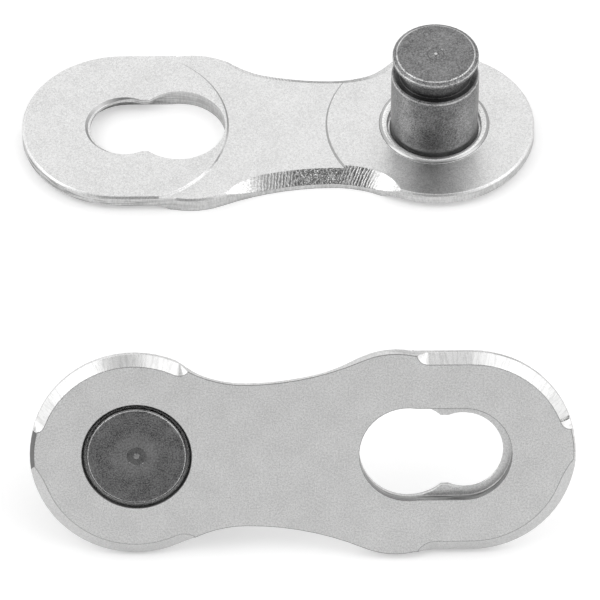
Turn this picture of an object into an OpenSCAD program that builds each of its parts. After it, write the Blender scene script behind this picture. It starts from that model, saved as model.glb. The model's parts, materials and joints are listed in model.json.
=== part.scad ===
// Chain connecting link: two identical halves, apart.
// Each half is a stamped side plate with a grooved pin riveted into one end and a keyhole slot at the other.
// The rear half lies on its outer face. The front half stands on its long edge and leans on its pin's end.
// Millimetres, +Z up, ground at Z = 0, origin under the middle of the pair.

/* [Chain] */
// Distance from the middle of the slot's seat to the pin's axis
pitch = 12.7; // [8:0.1:16]

/* [Side plate] */
// Thickness through the raised lobes
plate_t = 0.73; // [0.5:0.01:1.5]
// Height of the raised lobes above the rest of the inner face
lobe_step = 0.08; // [0.02:0.01:0.2]
// Radius of the round lobe that holds the pin
pin_lobe_r = 4.08; // [3.2:0.01:5.2]
// How far that lobe's middle lies outboard of the pin
pin_lobe_out = 0.07; // [0:0.01:0.5]
// Half width and end radius of the lobe with the slot
slot_lobe_r = 4.06; // [3.2:0.01:5.2]
// How far that lobe's end circle lies outboard of the seat
slot_lobe_out = 0.31; // [0:0.01:0.6]
// Half width at the shoulder beside the slot
shoulder_half = 4.15; // [3.4:0.01:5.4]
// Radius of the shoulder's curve
shoulder_r = 3.1; // [2:0.05:4]
// Half width at the narrowest point of the waist
waist_half = 2.92; // [2.2:0.01:3.6]
// How far the narrowest point lies from mid pitch, towards the pin
waist_x = 2.1; // [0:0.05:3]
// Radius of the waist's long curve, on the slot's side
waist_long_r = 11.3; // [8:0.1:20]
// Small chamfer of the lobes' and shoulders' inner edges
edge_c = 0.08; // [0.02:0.01:0.2]

/* [Raised lobes] */
// Radius of the raised disc round the slot
slot_disc_r = 4.22; // [3.6:0.01:5.2]
// How far that disc's middle lies outboard of the seat
slot_disc_out = 0.1; // [0:0.01:0.5]
// Radius of the raised disc round the pin
pin_disc_r = 4.3; // [3.6:0.01:5.2]
// How far that disc's middle lies inboard of the pin
pin_disc_in = 0.13; // [0:0.01:0.5]

/* [Outer chamfers] */
// Width of the steep chamfers on one side of the outer face
steep_w = 0.37; // [0.1:0.01:0.8]
// Depth of those chamfers into the plate's edge
steep_d = 0.45; // [0.1:0.01:0.6]
// Radius of their run outs, which a small cutter has left
steep_run_r = 0.47; // [0.4:0.01:1]
// Width of the flat chamfers on the other side
flat_w = 0.43; // [0.1:0.01:0.8]
// Depth of those chamfers
flat_d = 0.26; // [0.05:0.01:0.6]
// Radius of their run outs at the waist
flat_run_r = 0.8; // [0.4:0.01:2]
// Radius of their long run outs at the ends of the plate
flat_end_r = 4; // [0.5:0.1:8]
// Turn from the long axis, round each lobe's middle, where the chamfers start to run out at the plate's ends
end_turn = 20.5; // [5:0.5:45]
// Turn round the pin lobe's middle where they start to run out at the waist
lobe_turn = 115; // [90:0.5:118]
// Distance from the seat where the steep chamfer starts to run out
steep_slot_x = 1.35; // [0.8:0.01:2.2]
// Distance from the seat where the flat chamfer starts to run out
flat_slot_x = 1.08; // [0.6:0.01:2]
// Width of the narrow chamfer at the plate's end beside the pin
pin_rim_w = 0.16; // [0.04:0.01:0.3]
// Width of the narrow chamfer at the plate's end beside the slot
slot_rim_w = 0.07; // [0.04:0.01:0.3]
// Depth of a narrow chamfer for its width
rim_slope = 0.8; // [0.2:0.05:1.5]

/* [Waist scallops] */
// Width of the milled scallops on the inner face
scallop_w = 0.52; // [0.2:0.01:0.9]
// Depth of the scallops
scallop_d = 0.42; // [0.1:0.01:0.6]
// Where the scallop starts to run out on the slot's side, from mid pitch
scallop_slot_x = 0.82; // [0.4:0.01:1.6]
// Radius of that run out
scallop_slot_r = 2.8; // [1:0.05:5]
// Where the scallop starts to run out on the pin's side, from mid pitch
scallop_pin_x = 3.72; // [3:0.01:4.2]
// Radius of that run out
scallop_pin_r = 1.72; // [0.8:0.02:3]

/* [Keyhole slot] */
// Radius of the slot's wide end, which the other pin's cap passes
wide_r = 1.92; // [1.4:0.01:2.6]
// Distance from the seat to the wide end's middle
wide_in = 2.13; // [1.5:0.01:3]
// Radius of the seat that closes round the other pin's groove
seat_r = 1.56; // [1.2:0.01:2.2]
// Half width of the neck between them
neck_half = 1.45; // [1:0.01:2]
// Radius of the recess in the outer face, which takes the other pin's cap
recess_r = 1.89; // [1.4:0.01:2.6]
// Thickness of the ledge left under the recess
ledge_t = 0.245; // [0.1:0.005:0.6]
// Radius of the bevel on the seat's inner edge
bevel_r = 1.62; // [1.3:0.01:2.3]
// How far the bevel's middle lies outboard of the seat
bevel_out = 0.15; // [0:0.01:0.4]
// Depth of the bevel
bevel_d = 0.12; // [0.04:0.01:0.3]

/* [Pin] */
// Radius of the pin's body
pin_r = 1.81; // [1.4:0.01:2.4]
// Length of the whole pin, with its head and cap
pin_len = 4.89; // [4:0.01:7]
// Height of the body's shoulder, where the groove starts
groove_z = 3.8; // [3:0.01:5]
// Width of the groove
groove_w = 0.78; // [0.4:0.01:1.2]
// Radius of the groove's core
core_r = 1.5; // [1:0.01:2]
// Radius of the cap at the free end
cap_r = 1.775; // [1.3:0.005:2.4]
// Chamfer of the cap's end, across
cap_cw = 0.195; // [0.05:0.005:0.4]
// Chamfer of the cap's end, along
cap_cl = 0.1; // [0.04:0.01:0.3]
// Chamfer of the cap's underside
cap_under = 0.06; // [0.02:0.01:0.12]
// Chamfer of the body's shoulder, across
shoulder_cw = 0.08; // [0.02:0.01:0.2]
// Chamfer of the body's shoulder, along
shoulder_cl = 0.13; // [0.02:0.01:0.3]

/* [Riveted head] */
// Radius of the pin's head, level with the plate's outer face
head_r = 1.945; // [1.8:0.005:2.6]
// Height above the outer face up to which riveting has swelled the pin
swell_h = 0.65; // [0.3:0.01:0.75]
// Chamfer of the head's edge, across
head_cw = 0.11; // [0.02:0.01:0.2]
// Chamfer of the head's edge, along
head_cl = 0.06; // [0.02:0.01:0.15]
// Radius of the sink round the head
sink_r = 2.145; // [1.95:0.005:3]
// Depth at which the sink's cone would reach the pin's body
sink_d = 0.45; // [0.2:0.01:0.6]
// Radius of the relief round the pin at the inner face
relief_r = 1.93; // [1.7:0.01:2.6]
// Depth of that relief from the inner face
relief_d = 0.23; // [0.05:0.01:0.4]
// Middle radius of the coined ring round the pin
ring_mid_r = 2.12; // [1.9:0.01:2.8]
// Rounding radius of the coined ring
ring_round = 0.24; // [0.1:0.01:0.4]
// Height of the coined ring above the lobe
ring_h = 0.08; // [0.02:0.01:0.2]

/* [Turning marks] */
// Radius of the shallow sink in both ends of the pin
mark_r = 0.39; // [0.3:0.01:0.9]
// Radius of the nub left in its middle
nub_r = 0.1; // [0.04:0.01:0.2]
// Depth of the sink
mark_d = 0.04; // [0.02:0.01:0.08]

/* [Layout] */
// Distance between the rear half's long axis and the front half's line of contact with the ground
rows_apart = 22.05; // [14:0.05:40]
// How far the front half is shifted along X from the rear half
front_shift = 0.59; // [-3:0.01:3]
// Small turn of the front half as seen from above
front_turn = -0.15; // [-5:0.01:5]

/* [Hidden] */
$fn = 96;
slack = 0.2;
reach = 20;
seat_x = -pitch / 2;
pin_x = pitch / 2;
mid_t = plate_t - lobe_step;
lobe_x = pin_x + pin_lobe_out;
end_x = seat_x - slot_lobe_out;
// Waist: a short curve tangent to the pin lobe, and a long one tangent to the shoulder
waist_dx = lobe_x - waist_x;
waist_short_r = (waist_dx * waist_dx + waist_half * waist_half - pin_lobe_r * pin_lobe_r) / (2 * (pin_lobe_r - waist_half));
short_y = waist_half + waist_short_r;
waist_turn = atan2(short_y, -waist_dx);
short_r = waist_short_r + scallop_w;
long_y = waist_half + waist_long_r;
shoulder_y = shoulder_half - shoulder_r;
sum_r = waist_long_r + shoulder_r;
shoulder_x = waist_x - sqrt(sum_r * sum_r - (long_y - shoulder_y) * (long_y - shoulder_y));
shoulder_turn = atan2(long_y - shoulder_y, waist_x - shoulder_x);
shoulder_over = 6;
long_r = waist_long_r + scallop_w;
// Turns of the scallop's run outs round the middles of the waist's two curves
scallop_pin_turn = asin((scallop_pin_x - waist_x) / short_r);
scallop_slot_turn = asin((scallop_slot_x + waist_x) / long_r);
// The front half leans until its pin's end meets the ground, and settles on shoulder and pin lobe
cap_edge_z = pin_len - cap_cl;
lean = atan((pin_lobe_r - cap_r) / (cap_edge_z - plate_t + edge_c));
settle = -asin((shoulder_half - pin_lobe_r - tan(lean) * lobe_step) / (lobe_x - shoulder_x));
foot_y = pin_lobe_r - lobe_x * sin(settle);
foot_z = plate_t - edge_c;
lift = cos(lean) * foot_y + sin(lean) * foot_z;
front_set = sin(lean) * foot_y - cos(lean) * foot_z;
// The pair is centred on the origin
far_x = slot_lobe_r + slot_lobe_out + pitch / 2;
near_x = pin_lobe_r + pin_lobe_out + pitch / 2;
back_y = shoulder_half;
front_y = rows_apart + sin(lean) * (shoulder_half - foot_y) + cos(lean) * foot_z;
rear_x = far_x - (far_x + max(near_x, far_x + front_shift)) / 2;
rear_y = (front_y - back_y) / 2;

module span(x0, x1) {
  translate([x0, 0]) square([x1 - x0, reach]);
}

// Plate seen from above, upper half: lobes, shoulder and waist
module outline_half() {
  intersection() {
    union() {
      translate([lobe_x, 0]) circle(r = pin_lobe_r);
      translate([end_x, 0]) circle(r = slot_lobe_r);
      translate([end_x, 0]) square([shoulder_x - end_x, slot_lobe_r]);
      translate([shoulder_x, shoulder_y]) circle(r = shoulder_r);
      difference() {
        polygon([[shoulder_x, 0], [lobe_x, 0], [waist_x, short_y], [waist_x, long_y], [shoulder_x, shoulder_y]]);
        intersection() {
          translate([waist_x, short_y]) circle(r = waist_short_r);
          span(waist_x, lobe_x);
        }
        intersection() {
          translate([waist_x, long_y]) circle(r = waist_long_r);
          span(shoulder_x, waist_x);
        }
      }
    }
    translate([-reach, 0]) square([2 * reach, reach]);
  }
}

module outline() {
  outline_half();
  mirror([0, 1]) outline_half();
}

// Cone that falls outwards from the inner face at the scallop's slope
module scallop_cone(x, y, r) {
  slope = scallop_w / scallop_d;
  translate([x, y, mid_t - scallop_d - slack])
    cylinder(h = scallop_d + 2 * slack, r1 = r - (scallop_d + slack) * slope, r2 = r + slack * slope);
}

// Everything to one side of an upright plane through a point
module side_of(x, y, turn, side) {
  translate([x, y, 0]) rotate([0, 0, turn]) translate([side * reach / 2, 0, reach / 2])
    cube([reach, 2 * reach, reach], center = true);
}

// Milled scallop on one side of the waist: two curves, each with a tighter one where the cutter left
module scallop() {
  pin_in = short_r - scallop_pin_r;
  slot_in = long_r - scallop_slot_r;
  union() {
    intersection() {
      scallop_cone(waist_x, short_y, short_r);
      side_of(waist_x, short_y, 0, 1);
      side_of(waist_x, short_y, scallop_pin_turn, -1);
    }
    intersection() {
      scallop_cone(waist_x, long_y, long_r);
      side_of(waist_x, long_y, 0, -1);
      side_of(waist_x, long_y, -scallop_slot_turn, 1);
    }
    intersection() {
      scallop_cone(waist_x + pin_in * sin(scallop_pin_turn), short_y - pin_in * cos(scallop_pin_turn), scallop_pin_r);
      side_of(waist_x, short_y, scallop_pin_turn, 1);
    }
    intersection() {
      scallop_cone(waist_x - slot_in * sin(scallop_slot_turn), long_y - slot_in * cos(scallop_slot_turn), scallop_slot_r);
      side_of(waist_x, long_y, -scallop_slot_turn, -1);
    }
  }
}

// Section of a chamfer on the outer face whose edge lies at a distance r
module chamfer_section(r, w, d) {
  polygon([[r - 1.5 * w, -d / 2], [r + w / 5, 1.2 * d], [r + w, 1.2 * d], [r + w, -d / 2]]);
}

// Ring of chamfer at a lobe's edge on the outer face, from one angle to another
module outer_ring(x, r, w, d, from, to) {
  translate([x, 0, 0]) rotate([0, 0, from]) rotate_extrude(angle = to - from) chamfer_section(r, w, d);
}

// Sector of the cone left where the chamfer's cutter has moved away
module run_out(x, y, r, w, d, from) {
  translate([x, y, 0]) rotate([0, 0, from]) rotate_extrude(angle = 90)
    polygon([[0, -slack], [r + slack * w / d, -slack], [0, r * d / w]]);
}

// Chamfers of both lobes on one side of the outer face, with a run out at each end
module outer_chamfers(w, d, run_r, end_r, slot_x) {
  pin_in = pin_lobe_r - w;
  slot_in = slot_lobe_r - w;
  outer_ring(lobe_x, pin_lobe_r, w, d, end_turn, lobe_turn);
  run_out(lobe_x + (pin_in + end_r) * cos(end_turn), (pin_in + end_r) * sin(end_turn), end_r, w, d, 180 + end_turn);
  run_out(lobe_x + (pin_in + run_r) * cos(lobe_turn), (pin_in + run_r) * sin(lobe_turn), run_r, w, d, lobe_turn + 90);
  outer_ring(end_x, slot_lobe_r, w, d, 90, 180 - end_turn);
  run_out(end_x - (slot_in + end_r) * cos(end_turn), (slot_in + end_r) * sin(end_turn), end_r, w, d, 270 - end_turn);
  translate([end_x, 0, 0]) rotate([90, 0, 90]) linear_extrude(height = seat_x + slot_x - end_x)
    chamfer_section(slot_lobe_r, w, d);
  run_out(seat_x + slot_x, slot_in + run_r, run_r, w, d, 270);
}

// Narrow chamfers at both ends of the plate, between the wide ones
module rims() {
  outer_ring(lobe_x, pin_lobe_r, pin_rim_w, pin_rim_w * rim_slope, -2 * end_turn, 2 * end_turn);
  outer_ring(end_x, slot_lobe_r, slot_rim_w, slot_rim_w * rim_slope, 180 - 2 * end_turn, 180 + 2 * end_turn);
}

// Section of the small chamfer on an inner edge at a distance r and height z
module inner_section(r, z) {
  polygon([[r + edge_c, z - 2 * edge_c], [r - 2 * edge_c, z + edge_c], [r + edge_c, z + edge_c]]);
}

module inner_ring(x, y, r, z, from, to) {
  translate([x, y, 0]) rotate([0, 0, from]) rotate_extrude(angle = to - from) inner_section(r, z);
}

// Small chamfer on the inner edge of both lobes
module inner_edge() {
  inner_ring(lobe_x, 0, pin_lobe_r, plate_t, 0, lobe_turn);
  inner_ring(end_x, 0, slot_lobe_r, plate_t, 90, 180);
  translate([end_x, 0, 0]) rotate([90, 0, 90]) linear_extrude(height = seat_x + steep_slot_x - end_x)
    inner_section(slot_lobe_r, plate_t);
}

// The same chamfer on a shoulder, from inside the scallop to the lobe
module shoulder_edge() {
  inner_ring(shoulder_x, shoulder_y, shoulder_r, mid_t, shoulder_turn - shoulder_over, 90 + 2 * shoulder_over);
}

// A raised disc of the inner face with a sloping rim, trimmed to the plate's outline
module raised_disc(x, r) {
  intersection() {
    linear_extrude(height = plate_t) outline();
    translate([x, 0, mid_t - slack]) cylinder(h = lobe_step + slack, r1 = r + lobe_step + slack, r2 = r);
  }
}

// Keyhole slot: through opening with seat, neck and wide end, and the recess in the outer face
module keyhole() {
  translate([0, 0, -slack]) linear_extrude(height = plate_t + 2 * slack) {
    translate([seat_x, 0]) circle(r = seat_r);
    translate([seat_x, -neck_half]) square([wide_in, 2 * neck_half]);
    translate([seat_x + wide_in, 0]) circle(r = wide_r);
  }
  translate([0, 0, -slack]) linear_extrude(height = plate_t - ledge_t + slack) {
    translate([seat_x, 0]) circle(r = recess_r);
    translate([seat_x, -recess_r]) square([wide_in, 2 * recess_r]);
  }
  translate([seat_x - bevel_out, 0, plate_t - bevel_d])
    cylinder(h = bevel_d + slack, r1 = bevel_r - bevel_d, r2 = bevel_r + slack);
}

// The pin's riveted end: it swells from the body's radius to the head's
module swell() {
  translate([0, 0, head_cl]) cylinder(h = swell_h - head_cl, r1 = head_r, r2 = pin_r);
}

// Hole for the pin: cone-shaped sink round the head, tight middle and relief at the inner face
module pin_hole() {
  translate([pin_x, 0, 0]) {
    translate([0, 0, -slack]) cylinder(h = plate_t + ring_h + 2 * slack, r = pin_r);
    translate([0, 0, -slack]) cylinder(h = sink_d + slack, r1 = sink_r + slack * (sink_r - pin_r) / sink_d, r2 = pin_r);
    swell();
    translate([0, 0, plate_t - relief_d]) cylinder(h = relief_d + ring_h + slack, r = relief_r);
  }
}

module coined_ring() {
  translate([pin_x, 0, plate_t + ring_h - ring_round]) rotate_extrude()
    translate([ring_mid_r, 0]) circle(r = ring_round);
}

module side_plate() {
  difference() {
    union() {
      linear_extrude(height = mid_t) outline();
      raised_disc(seat_x - slot_disc_out, slot_disc_r);
      raised_disc(pin_x - pin_disc_in, pin_disc_r);
      coined_ring();
    }
    for (side = [0, 1]) mirror([0, side, 0]) {
      scallop();
      inner_edge();
      shoulder_edge();
    }
    outer_chamfers(steep_w, steep_d, steep_run_r, steep_run_r, steep_slot_x);
    mirror([0, 1, 0]) outer_chamfers(flat_w, flat_d, flat_run_r, flat_end_r, flat_slot_x);
    rims();
    keyhole();
    pin_hole();
  }
}

// Turned pin: riveted head, body, groove and cap
module pin() {
  cap_z = groove_z + groove_w;
  translate([pin_x, 0, 0]) difference() {
    rotate_extrude() polygon([
      [0, 0],
      [head_r - head_cw, 0],
      [head_r, head_cl],
      [pin_r, swell_h],
      [pin_r, groove_z - shoulder_cl],
      [pin_r - shoulder_cw, groove_z],
      [core_r, groove_z],
      [core_r, cap_z],
      [cap_r - cap_under, cap_z],
      [cap_r, cap_z + cap_under],
      [cap_r, cap_edge_z],
      [cap_r - cap_cw, pin_len],
      [0, pin_len]
    ]);
    turning_marks();
    translate([0, 0, pin_len]) mirror([0, 0, 1]) turning_marks();
  }
}

// Shallow turned sink with a nub in its middle, cut into the end that lies at Z = 0
module turning_marks() {
  rotate_extrude() polygon([
    [nub_r - mark_d, -mark_d],
    [nub_r + mark_d, mark_d],
    [mark_r - mark_d, mark_d],
    [mark_r + mark_d, -mark_d]
  ]);
}

module place_rear() {
  translate([rear_x, rear_y, 0]) children();
}

module place_front() {
  translate([rear_x + front_shift, rear_y - rows_apart, lift]) rotate([0, 0, front_turn])
    translate([0, front_set, 0]) rotate([-90 - lean, 0, 0]) rotate([0, 0, 180 + settle]) children();
}

module plate_rear() {
  color([0.8, 0.8, 0.79]) place_rear() side_plate();
}

module pin_rear() {
  color([0.35, 0.35, 0.36]) place_rear() pin();
}

module plate_front() {
  color([0.8, 0.8, 0.79]) place_front() side_plate();
}

module pin_front() {
  color([0.35, 0.35, 0.36]) place_front() pin();
}

plate_rear();
pin_rear();
plate_front();
pin_front();
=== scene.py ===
import json
import math

import bpy
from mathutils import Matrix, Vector

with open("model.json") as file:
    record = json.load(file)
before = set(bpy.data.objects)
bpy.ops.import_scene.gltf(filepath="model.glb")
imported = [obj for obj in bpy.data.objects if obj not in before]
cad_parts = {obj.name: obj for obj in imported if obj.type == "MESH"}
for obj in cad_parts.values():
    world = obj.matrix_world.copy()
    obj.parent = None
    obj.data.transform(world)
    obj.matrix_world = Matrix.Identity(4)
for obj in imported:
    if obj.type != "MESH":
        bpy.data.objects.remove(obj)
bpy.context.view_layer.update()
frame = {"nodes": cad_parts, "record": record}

# ---- Rear side plate ---------------------------------------------------------------------------------
# A stamped plate of hardened steel, coined to raise both lobes, milled along the waist, chamfered outside
# and nickel plated. It lies flat on its outer face, and the pin is riveted into its round lobe.

# Sizes are in mm, x from mid pitch towards the pin, y across, z up from the outer face.
PITCH = 12.7            # from the slot's seat to the pin's axis
SLOT_MOUNT_Z = 0.6075   # the keyhole mount above the outer face
WAIST_X = 2.1           # the narrowest point
WAIST_HALF = 2.92
WAIST_LONG_R = 11.3     # the waist's curve on the slot's side
WAIST_SHORT_R = 4.54    # and on the pin's side
TORN_X = 1.6            # where the cutter tore the metal instead of leaving ridges
RING_R = 2.12           # crest of the coined ring round the pin
# a dark line of painted shade marks the coined ring's outer foot
RING_FOOT_R = 2.23      # the dark line that the ring ends in
RING_FOOT_Z = 0.735
RELIEF_R = 1.93         # the relief between ring and pin
SINK_R = 2.145          # the sink round the pin's head, in the outer face
WIDE_X = -4.22          # centre of the slot's wide end
SLOT_R = 1.95           # just outside the slot and its recess
RECESS_Z = 0.485        # the ledge's outer side
EDGE_R = 0.045          # tumbled edges
PLATE_BUMP = 0.006

# Slopes are the parts of the cut surfaces' directions along the pin's axis.
SCALLOP_SLOPE = 0.778
FLAT_SLOPE = -0.856     # the wide flat chamfer
STEEP_SLOPE = -0.635    # the wide steep chamfer
RIM_SLOPE = -0.781      # the narrow chamfer between them
BEVEL_SLOPE = 0.707     # the slot's bevel and the raised lobes' steps

NICKEL_DULL, NICKEL_BRIGHT = (0.66, 0.66, 0.657), (0.96, 0.96, 0.957)
SHEAR_DULL, SHEAR_BRIGHT = (0.56, 0.56, 0.558), (0.86, 0.86, 0.857)
BRUSHED_DULL, BRUSHED_BRIGHT = (0.78, 0.78, 0.777), (0.94, 0.94, 0.937)
MILLED_DULL, MILLED_BRIGHT = (0.46, 0.46, 0.458), (0.92, 0.92, 0.917)
TORN_STEEL = (0.17, 0.17, 0.169)
# how strongly painted shade darkens each half's slot recess walls
RECESS_SHADE = {"rear": 0.1, "front": 0.7}


def grey(level):
    """A neutral colour."""
    return level, level, level


class Wire:
    """A socket in a finish. Arithmetic on it adds Math nodes."""

    def __init__(self, tree, socket=None):
        self.tree, self.socket = tree, socket

    def node(self, kind, settings=None, inputs=None, out=0):
        """A new node: its settings first, then the values or links of its sockets."""
        made = self.tree.nodes.new(kind)
        for name, value in (settings or {}).items():
            setattr(made, name, value)
        for name, value in (inputs or {}).items():
            if isinstance(value, Wire):
                self.tree.links.new(value.socket, made.inputs[name])
            else:
                made.inputs[name].default_value = value
        return Wire(self.tree, made.outputs[out] if made.outputs else None)

    def math(self, operation, *values):
        return self.node("ShaderNodeMath", {"operation": operation}, dict(enumerate(values)))

    def __add__(self, other):
        return self.math("ADD", self, other)

    def __sub__(self, other):
        return self.math("SUBTRACT", self, other)

    def __mul__(self, other):
        return self.math("MULTIPLY", self, other)

    def __truediv__(self, other):
        return self.math("DIVIDE", self, other)

    __radd__ = __add__
    __rmul__ = __mul__

    def __rsub__(self, other):
        return self.math("SUBTRACT", other, self)

    def __abs__(self):
        return self.math("ABSOLUTE", self)

    def rise(self, low, high):
        """0 below low, 1 above high, smooth between. With low above high it falls."""
        return self.node("ShaderNodeMapRange", {"interpolation_type": "SMOOTHSTEP"},
                         {"Value": self, "From Min": low, "From Max": high})

    def band(self, middle, half, soft):
        """1 within half of middle, fading to 0 over soft."""
        return 1 - abs(self - middle).rise(half, half + soft)

    def mix(self, low, high):
        """low where this mask is 0 and high where it is 1, for numbers."""
        return self.node("ShaderNodeMix", {"data_type": "FLOAT"}, {0: self, 2: low, 3: high})

    def tint(self, low, high):
        """The same for colours."""
        low, high = [(*shade, 1) if isinstance(shade, tuple) else shade for shade in (low, high)]
        return self.node("ShaderNodeMix", {"data_type": "RGBA"}, {0: self, 6: low, 7: high}, 2)

    def dot(self, axis, offset=0):
        """Part of this vector along an axis."""
        part = self.node("ShaderNodeVectorMath", {"operation": "DOT_PRODUCT"}, {0: self, 1: axis}, "Value")
        return part + offset

    def vector(self, x, y, z):
        return self.node("ShaderNodeCombineXYZ", None, {0: x, 1: y, 2: z})

    def noise(self, place, scale, detail, rough):
        return self.node("ShaderNodeTexNoise", None,
                         {"Vector": place, "Scale": scale, "Detail": detail, "Roughness": rough}, "Fac")


mounts = {mount["name"]: mount for mount in frame["record"]["mounts"]}


def half_axes(half):
    """Long, cross and pin axis of a half, and the point midway between seat and pin on its outer face."""
    slot = mounts[half + "_keyhole"]
    up = Vector(mounts[half + "_pin"]["axis"]).normalized()
    along = Vector(slot["axis"]).normalized()
    middle = Vector(slot["pos_m"]) + along * PITCH / 2000 - up * SLOT_MOUNT_Z / 1000
    return along, up.cross(along), up, middle


def finish_start(name, half):
    """A new material and its first wires: the half's own coordinates in mm, the surface's slope, its direction
    with the edges tumbled round, and how sharply it turns there."""
    paint = bpy.data.materials.new(name)
    paint.use_nodes = True
    paint.node_tree.nodes.clear()
    w = Wire(paint.node_tree)
    along, across, up, middle = half_axes(half)
    place = w.node("ShaderNodeTexCoord", out="Object")
    x, y, z = (place.dot(tuple(axis * 1000), -axis.dot(middle) * 1000) for axis in (along, across, up))
    facing = w.node("ShaderNodeNewGeometry", out="True Normal")
    soft = w.node("ShaderNodeBevel", {"samples": 8}, {"Radius": EDGE_R / 1000})
    return paint, w, (x, y, z), facing.dot(tuple(up)), soft, 1 - soft.dot(facing)


def finish_end(paint, w, color, roughness, height, bump_mm, soft):
    """Closes a metal finish: bump over the softened edges, into a metallic surface."""
    bump = w.node("ShaderNodeBump", None,
                  {"Height": height, "Strength": 1.0, "Distance": bump_mm / 1000, "Normal": soft})
    metal = w.node("ShaderNodeBsdfPrincipled", None,
                   {"Base Color": color, "Roughness": roughness, "Metallic": 1.0, "Normal": bump})
    w.node("ShaderNodeOutputMaterial", None, {"Surface": metal})
    return paint


def nickel(half):
    """Bright nickel over tumbled steel: fine speckle, smoother coined places, cutter marks on the waist,
    shear marks on the blanked walls, painted dark lines along edges, and painted shade and light in the sink
    round the head."""
    paint, w, (x, y, z), slope, soft, crease = finish_start("nickel_" + half, half)
    from_pin = w.math("SQRT", (x - PITCH / 2) * (x - PITCH / 2) + y * y)
    past_slot = w.math("MAXIMUM", abs(x - (WIDE_X - PITCH / 2) / 2) - (WIDE_X + PITCH / 2) / 2, 0.0)
    from_slot = w.math("SQRT", past_slot * past_slot + y * y)

    # the tumbled skin
    here = w.vector(x, y, z)
    grain = w.noise(here, 13.0, 2.0, 0.6)
    speck = w.noise(here, 23.0, 1.0, 0.5)
    mottle = w.noise(here, 0.9, 3.0, 0.55)
    skin = (grain * 0.42 + speck * 0.44 + mottle * 0.14).rise(0.33, 0.67)
    color = skin.tint(NICKEL_DULL, NICKEL_BRIGHT)

    # blanked walls, with the sheet's layers showing on the plate's slot end
    wall = 1 - abs(slope).rise(0.05, 0.2)
    shear = w.noise(w.vector(x, y, z * 0.3), 13.0, 2.0, 0.6)
    layers = w.noise(w.vector(x * 0.10, y * 0.10, z * 1.6), 9.0, 1.0, 0.5)
    marks = (shear * 0.55 + layers * 0.45).rise(0.35, 0.65)
    color = (wall * from_pin.rise(1.95, 2.0) * 0.7).tint(color, marks.tint(SHEAR_DULL, SHEAR_BRIGHT))
    plies = (1 - x.rise(-6.0, -3.6)) * wall * layers.rise(0.52, 0.40)
    color = (plies * 0.55).tint(color, grey(0.22))

    # painted shade: in the slot's recess, deeper on the front half, on the slot's bevel, and on the steps of
    # the raised lobes, less on the slot lobe's lower part where the step is lit
    in_slot = 1 - from_slot.rise(SLOT_R - 0.02, SLOT_R + 0.02)
    recess = in_slot * wall * (1 - z.rise(RECESS_Z - 0.01, RECESS_Z))
    recess_shade_tone = layers.rise(0.35, 0.6).tint(grey(0.05), grey(0.28))
    color = (recess * RECESS_SHADE[half]).tint(color, recess_shade_tone)
    bevel = slope.band(BEVEL_SLOPE, 0.02, 0.02)
    color = (bevel * in_slot * 0.8).tint(color, grey(0.40))
    step = bevel * (1 - in_slot) * (1 - abs(y).rise(3.3, 3.8)) * (1 - abs(x).rise(4.6, 5.0))
    # the slot lobe's lower part is the step's lit side, so it keeps less of the painted shade
    lit_step_part = (1 - x.rise(-0.5, 0.5)) * (1 - y.rise(-1.3, 0.3))
    color = (step * (1 - lit_step_part * 0.8) * 0.8).tint(color, grey(0.25))

    # the chamfers: the steep one brushed, the flat one duller, the rim dark at the pin's end
    flat = slope.band(FLAT_SLOPE, 0.02, 0.03)
    steep = slope.band(STEEP_SLOPE, 0.02, 0.03)
    rim = slope.band(RIM_SLOPE, 0.015, 0.02)
    sweep = w.math("ARCTAN2", y, abs(x) - PITCH / 2)
    strokes = w.noise(w.vector(sweep * 4, z * 0.2, 0.0), 8.0, 2.0, 0.6)
    color = (steep * 0.85).tint(color, strokes.rise(0.4, 0.7).tint(BRUSHED_BRIGHT, BRUSHED_DULL))
    color = (flat * 0.42).tint(color, grey(0.55))

    # the milled scallops: ridges across the feed, torn in the middle, bright where they run out
    milled = slope.band(SCALLOP_SLOPE, 0.02, 0.03)
    reach = x.rise(WAIST_X - 0.01, WAIST_X + 0.01).mix(WAIST_LONG_R, WAIST_SHORT_R)
    feed = w.math("ARCTAN2", x - WAIST_X, reach + WAIST_HALF - abs(y)) * reach
    cutter = w.node("ShaderNodeTexWave", None,
                    {"Vector": w.vector(feed + abs(y) * 0.3, 0.0, abs(y) * 0.8),
                     "Scale": 2.5, "Distortion": 5.0, "Detail": 3.0, "Detail Scale": 3.0}, "Fac")
    ridges = (cutter * 0.45 + grain * 0.55).rise(0.64, 0.38)
    tearing = w.noise(w.vector(feed, abs(y), z), 15.0, 2.0, 0.8)
    torn = x.band(TORN_X, 0.7, 0.8).mix(ridges, tearing.rise(0.40, 0.52))
    rough_cut = milled * x.rise(-1.8, 1.0) * (1 - x.rise(3.4, 4.0))
    clean_cut = milled * (1 - rough_cut)
    color = (clean_cut * 0.8).tint(color, tearing.rise(0.40, 0.62).tint(MILLED_BRIGHT, MILLED_DULL))
    color = (rough_cut * x.band(TORN_X, 0.9, 1.2) * 0.45).tint(color, grey(0.40))
    color = (rough_cut * torn).tint(color, TORN_STEEL)
    color = (rim * x.rise(5.0, 7.0) * 0.85).tint(color, grey(0.13))

    # painted shade: a dark line round the coined ring's outer foot
    ring_top = z.rise(RING_FOOT_Z, RING_FOOT_Z + 0.015)
    ring = from_pin.band(RING_R, 0.26, 0.05) * ring_top
    color = (from_pin.band(RING_FOOT_R, 0.05, 0.04) * ring_top * 0.85).tint(color, grey(0.34))

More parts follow.
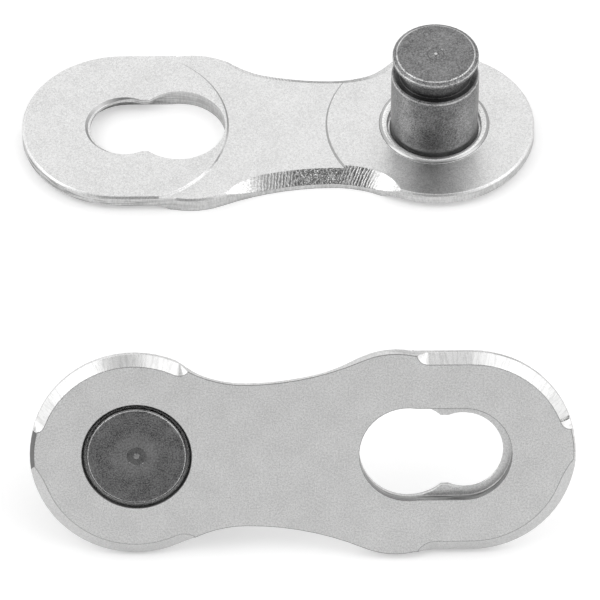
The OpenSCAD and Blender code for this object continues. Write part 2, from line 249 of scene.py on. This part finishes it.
    # painted shade: a thin dark line where the face ends all round and one along the scallops' edges, and the
    # sink round the head dark outwards, its inner edge painted light
    line = crease.rise(0.002, 0.014) * (1 - z.rise(0.02, 0.05))
    color = (line * 0.9).tint(color, grey(0.20))
    color = (crease.rise(0.004, 0.03) * milled * 0.7).tint(color, grey(0.25))
    sink = (1 - from_pin.rise(SINK_R - 0.015, SINK_R + 0.015)) * (1 - z.rise(0.45, 0.6))
    color = sink.tint(color, from_pin.rise(SINK_R - 0.165, SINK_R - 0.055).tint(grey(0.98), grey(0.06)))

    smooth = w.math("MAXIMUM", ring, w.math("MAXIMUM", flat, steep) * 0.6)
    rough = 0.22 + grain * 0.14 + mottle * 0.05 - smooth * 0.12 + wall * 0.1
    height = grain * (1 - smooth * 0.7) * 0.6 + speck * (1 - smooth) * 0.4
    height = wall.mix(rough_cut.mix(height, cutter * 2.0), marks * 0.6)
    # the real ring's crest lies closer to the pin than the solid's, with a long slope outside
    outward = from_pin - RELIEF_R
    height = height + ring * (outward * outward * 0.8 - outward * 0.577) / PLATE_BUMP
    return finish_end(paint, w, color, rough, height, PLATE_BUMP, soft)


def dress(node, paint):
    """Gives a CAD node its finish."""
    for slot in frame["nodes"][node].material_slots:
        slot.material = paint


dress("plate_rear", nickel("rear"))

# ---- Rear pin ----------------------------------------------------------------------------------------
# Turned from chromium steel and hardened dark, with the groove that the other half's slot closes round.
# Its foot is riveted over in the plate's sink, and both ends keep the lathe's centre mark.

CAP_TOP = 4.89          # above the plate's outer face
CAP_FLAT_R = 1.60       # the cap's top inside its chamfer
CAP_EDGE_Z = 4.77       # the chamfer's lower edge
SHOULDER_Z = 3.70       # the body's end at the groove
GROOVE_Z = 4.19         # the groove's middle
GROOVE_HALF = 0.39
HEAD_RIM_R = 1.905
# the centre marks' dark rings are painted shade, at these radii
CENTRE_R = 0.26         # the centre mark's dark ring in the head
CAP_CENTRE_R = 0.34     # and in the cap
PIN_BUMP = 0.008

HARD_DARK, HARD_LIGHT = (0.055, 0.055, 0.056), (0.36, 0.36, 0.362)
HEAD_DARK, HEAD_LIGHT = (0.035, 0.035, 0.036), (0.29, 0.29, 0.291)
TURNED_LIGHT = (0.34, 0.34, 0.342)


def hardened(half):
    """Dark hardened steel: turning rings on the ends, fine rings round the body, edges worn bright with
    painted highlights on them, painted light at the foot and in the head's sink, and painted shade in the
    groove."""
    paint, w, (x, y, z), slope, soft, _ = finish_start("hardened_" + half, half)
    from_axis = x - PITCH / 2
    radius = w.math("SQRT", from_axis * from_axis + y * y)
    here = w.vector(from_axis, y, z)
    grain = w.noise(here, 14.0, 2.0, 0.65)
    speck = w.noise(here, 30.0, 1.0, 0.5)
    patches = w.noise(here, 1.6, 3.0, 0.6)
    rings = w.noise(w.vector(radius, 0.0, 0.0), 14.0, 1.0, 0.6)
    lathe = w.noise(w.vector(z, 0.0, 0.0), 12.0, 2.0, 0.7)
    end = abs(slope).rise(0.9, 0.98)
    head = 1 - z.rise(0.2, 0.4)
    head_face = end * head
    cap_face = end * (1 - head)

    # hardening scale, darker on the head
    scale = (grain * 0.4 + speck * 0.4 + patches * 0.2).rise(0.34, 0.66)
    color = scale.tint(HARD_DARK, HARD_LIGHT)
    color = head.tint(color, scale.tint(HEAD_DARK, HEAD_LIGHT))

    # both ends: turning rings and the centre marks, the marks' dark rings painted shade and their light
    # centres painted highlights, and the head's side down in the sink painted light
    color = (cap_face * 0.12).tint(color, grey(0.40))
    color = (end * rings.rise(0.35, 0.7) * 0.14).tint(color, TURNED_LIGHT)
    color = (head_face * radius.band(0.5, 0.05, 0.6) * 0.2).tint(color, grey(0.42))
    color = (head * z.rise(0.05, 0.07) * 0.9).tint(color, grey(0.98))
    color = (head_face * radius.band(CENTRE_R, 0.12, 0.03) * 0.5).tint(color, grey(0.08))
    color = (head_face * (1 - radius.rise(0.10, 0.15)) * 0.5).tint(color, grey(0.45))
    color = (cap_face * (1 - radius.rise(0.05, 0.08)) * 0.8).tint(color, grey(0.8))
    color = (cap_face * radius.band(CAP_CENTRE_R, 0.02, 0.03) * 0.4).tint(color, grey(0.08))

    # edges worn bright by tumbling, with painted highlights on them: both edges of the cap's chamfer, the
    # body's shoulder and the head's rim, which is painted as a glint
    cap_edge = w.math("MAXIMUM", radius.band(CAP_FLAT_R, 0.02, 0.015) * z.rise(CAP_TOP - 0.06, CAP_TOP - 0.04),
                      z.band(CAP_EDGE_Z, 0.025, 0.015) * radius.rise(1.72, 1.75))
    shoulder = z.band(SHOULDER_Z, 0.02, 0.02) * radius.rise(1.72, 1.74)
    head_edge = (1 - z.rise(0.03, 0.045)) * radius.band(HEAD_RIM_R, 0.010, 0.02)
    edges = w.math("MAXIMUM", w.math("MAXIMUM", cap_edge, shoulder), head_edge)
    wear_and_glint = edges * (patches * 0.4 + speck * 0.6).rise(0.34, 0.56)
    color = (wear_and_glint * 0.9).tint(color, grey(0.75))
    color = (head_edge * speck.rise(0.36, 0.56) * 0.85).tint(color, grey(0.97))

    # painted light lifting the shade where the body meets the plate, and painted shade that makes the groove
    # black
    foot = z.rise(0.4, 0.5) * (1 - z.rise(0.85, 1.1)) * (1 - end)
    color = (foot * 0.5).tint(color, grey(0.32))
    groove = z.band(GROOVE_Z, GROOVE_HALF, 0.02) * (1 - radius.rise(1.76, 1.78))
    color = (groove * 0.5).tint(color, grey(0.03))

    rough = 0.27 + grain * 0.1 + patches * 0.06 - wear_and_glint * 0.06
    height = grain * 0.6 + speck * 0.3 + end * rings * 0.35 + (1 - end) * lathe * 0.25
    return finish_end(paint, w, color, rough, height, PIN_BUMP, soft)


dress("pin_rear", hardened("rear"))

# ---- Front side plate and pin ------------------------------------------------------------------------
# The second half, the same stamping and the same turned pin. It stands on its long edge, outer face to
# the viewer, and leans back on the rim of its pin's free end.

dress("plate_front", nickel("front"))
dress("pin_front", hardened("front"))

# ---- Table, light and camera -------------------------------------------------------------------------
# A white card table that runs out of sight, a pale studio with a soft panel on either side, and a long
# lens a quarter of a metre away, looking down by 48 degrees.

TABLE_HALF = 1.5        # m
CARD_WHITE = (0.8, 0.8, 0.8, 1)
WHITE = (1, 1, 1, 1)
table = bpy.data.meshes.new("table")
table.from_pydata([(-TABLE_HALF, -TABLE_HALF, 0), (TABLE_HALF, -TABLE_HALF, 0),
                   (TABLE_HALF, TABLE_HALF, 0), (-TABLE_HALF, TABLE_HALF, 0)], [], [(0, 1, 2, 3)])
table_top = bpy.data.objects.new("table", table)
bpy.context.scene.collection.objects.link(table_top)

# the camera sees the card lit up to white, the metal mostly sees it plain
card = bpy.data.materials.new("table_card")
card.use_nodes = True
card.node_tree.nodes.clear()
w = Wire(card.node_tree)
plain = w.node("ShaderNodeBsdfDiffuse", None, {"Color": CARD_WHITE})
glow = w.node("ShaderNodeEmission", None, {"Color": WHITE, "Strength": 0.31})
lit = w.node("ShaderNodeAddShader", None, {0: plain, 1: glow})
mirrored = w.node("ShaderNodeLightPath", out="Is Glossy Ray") * 0.1
seen = w.math("MAXIMUM", w.node("ShaderNodeLightPath", out="Is Camera Ray"), mirrored)
top = w.node("ShaderNodeMixShader", None, {0: seen, 1: plain, 2: lit})
w.node("ShaderNodeOutputMaterial", None, {"Surface": top})
table.materials.append(card)

# the studio: dimmer towards the viewer and in a patch overhead, brighter high up and to the sides
VIEWER = Vector((0, -0.68, 0.733)).normalized()
OVERHEAD = (-0.20, 0.34, 0.919)
studio = bpy.data.worlds.new("studio")
bpy.context.scene.world = studio
studio.use_nodes = True
studio.node_tree.nodes.clear()
w = Wire(studio.node_tree)


def patch(way, axis, outer, inner):
    """A round patch of the studio: 1 within inner degrees of the axis, fading to 0 at outer."""
    return way.dot(tuple(axis)).rise(math.cos(math.radians(outer)), math.cos(math.radians(inner)))


way = w.node("ShaderNodeTexCoord", out="Generated")
sideways, backward, upward = (way.dot(axis) for axis in ((1, 0, 0), (0, 1, 0), (0, 0, 1)))
lean = sideways.rise(-0.4, 0.4).mix(-1.0, 1.0)
room = backward.rise(-1.0, 0.3).mix(0.62, 1.02) * (1 - lean * backward * 0.16)
dimmed = room * (1 - patch(way, VIEWER, 30, 10) * 0.62 - patch(way, OVERHEAD, 24, 8) * 0.6)
flanks = abs(sideways).rise(0.2, 0.6) * upward.rise(0.4, 0.8)
level = dimmed + upward.rise(0.75, 1.0) * 0.15 + flanks * 0.25
room_light = w.node("ShaderNodeBackground", None, {"Color": level, "Strength": 1.0})
backdrop = w.node("ShaderNodeBackground", None, {"Color": WHITE, "Strength": 1.0})
by_camera = w.node("ShaderNodeLightPath", out="Is Camera Ray")
sky = w.node("ShaderNodeMixShader", None, {0: by_camera, 1: room_light, 2: backdrop})
w.node("ShaderNodeOutputWorld", None, {"Surface": sky})

PANEL_AWAY = 0.5        # m
PANEL_WIDE, PANEL_HIGH = 0.26, 0.34
for name, side, watts in (("panel_left", -1, 0.33), ("panel_right", 1, 0.24)):
    panel = bpy.data.lights.new(name, "AREA")
    panel.shape = "RECTANGLE"
    panel.size, panel.size_y = PANEL_WIDE, PANEL_HIGH
    panel.energy = watts
    stand = bpy.data.objects.new(name, panel)
    toward = Vector((0.70 * side, -0.10, 0.70))
    stand.location = toward.normalized() * PANEL_AWAY
    stand.rotation_euler = toward.to_track_quat("Z", "Y").to_euler()
    bpy.context.scene.collection.objects.link(stand)

lens = bpy.data.cameras.new("long_lens")
lens.lens, lens.sensor_width = 373.392, 36.0
lens.clip_start, lens.clip_end = 0.01, 10.0
camera = bpy.data.objects.new("long_lens", lens)
camera.location = (-0.0010656, -0.1673842, 0.1885986)
camera.rotation_euler = [math.radians(turn) for turn in (41.618, 0.0446, -0.5533)]
bpy.context.scene.collection.objects.link(camera)
bpy.context.scene.camera = camera
bpy.context.scene.view_settings.view_transform = "Standard"
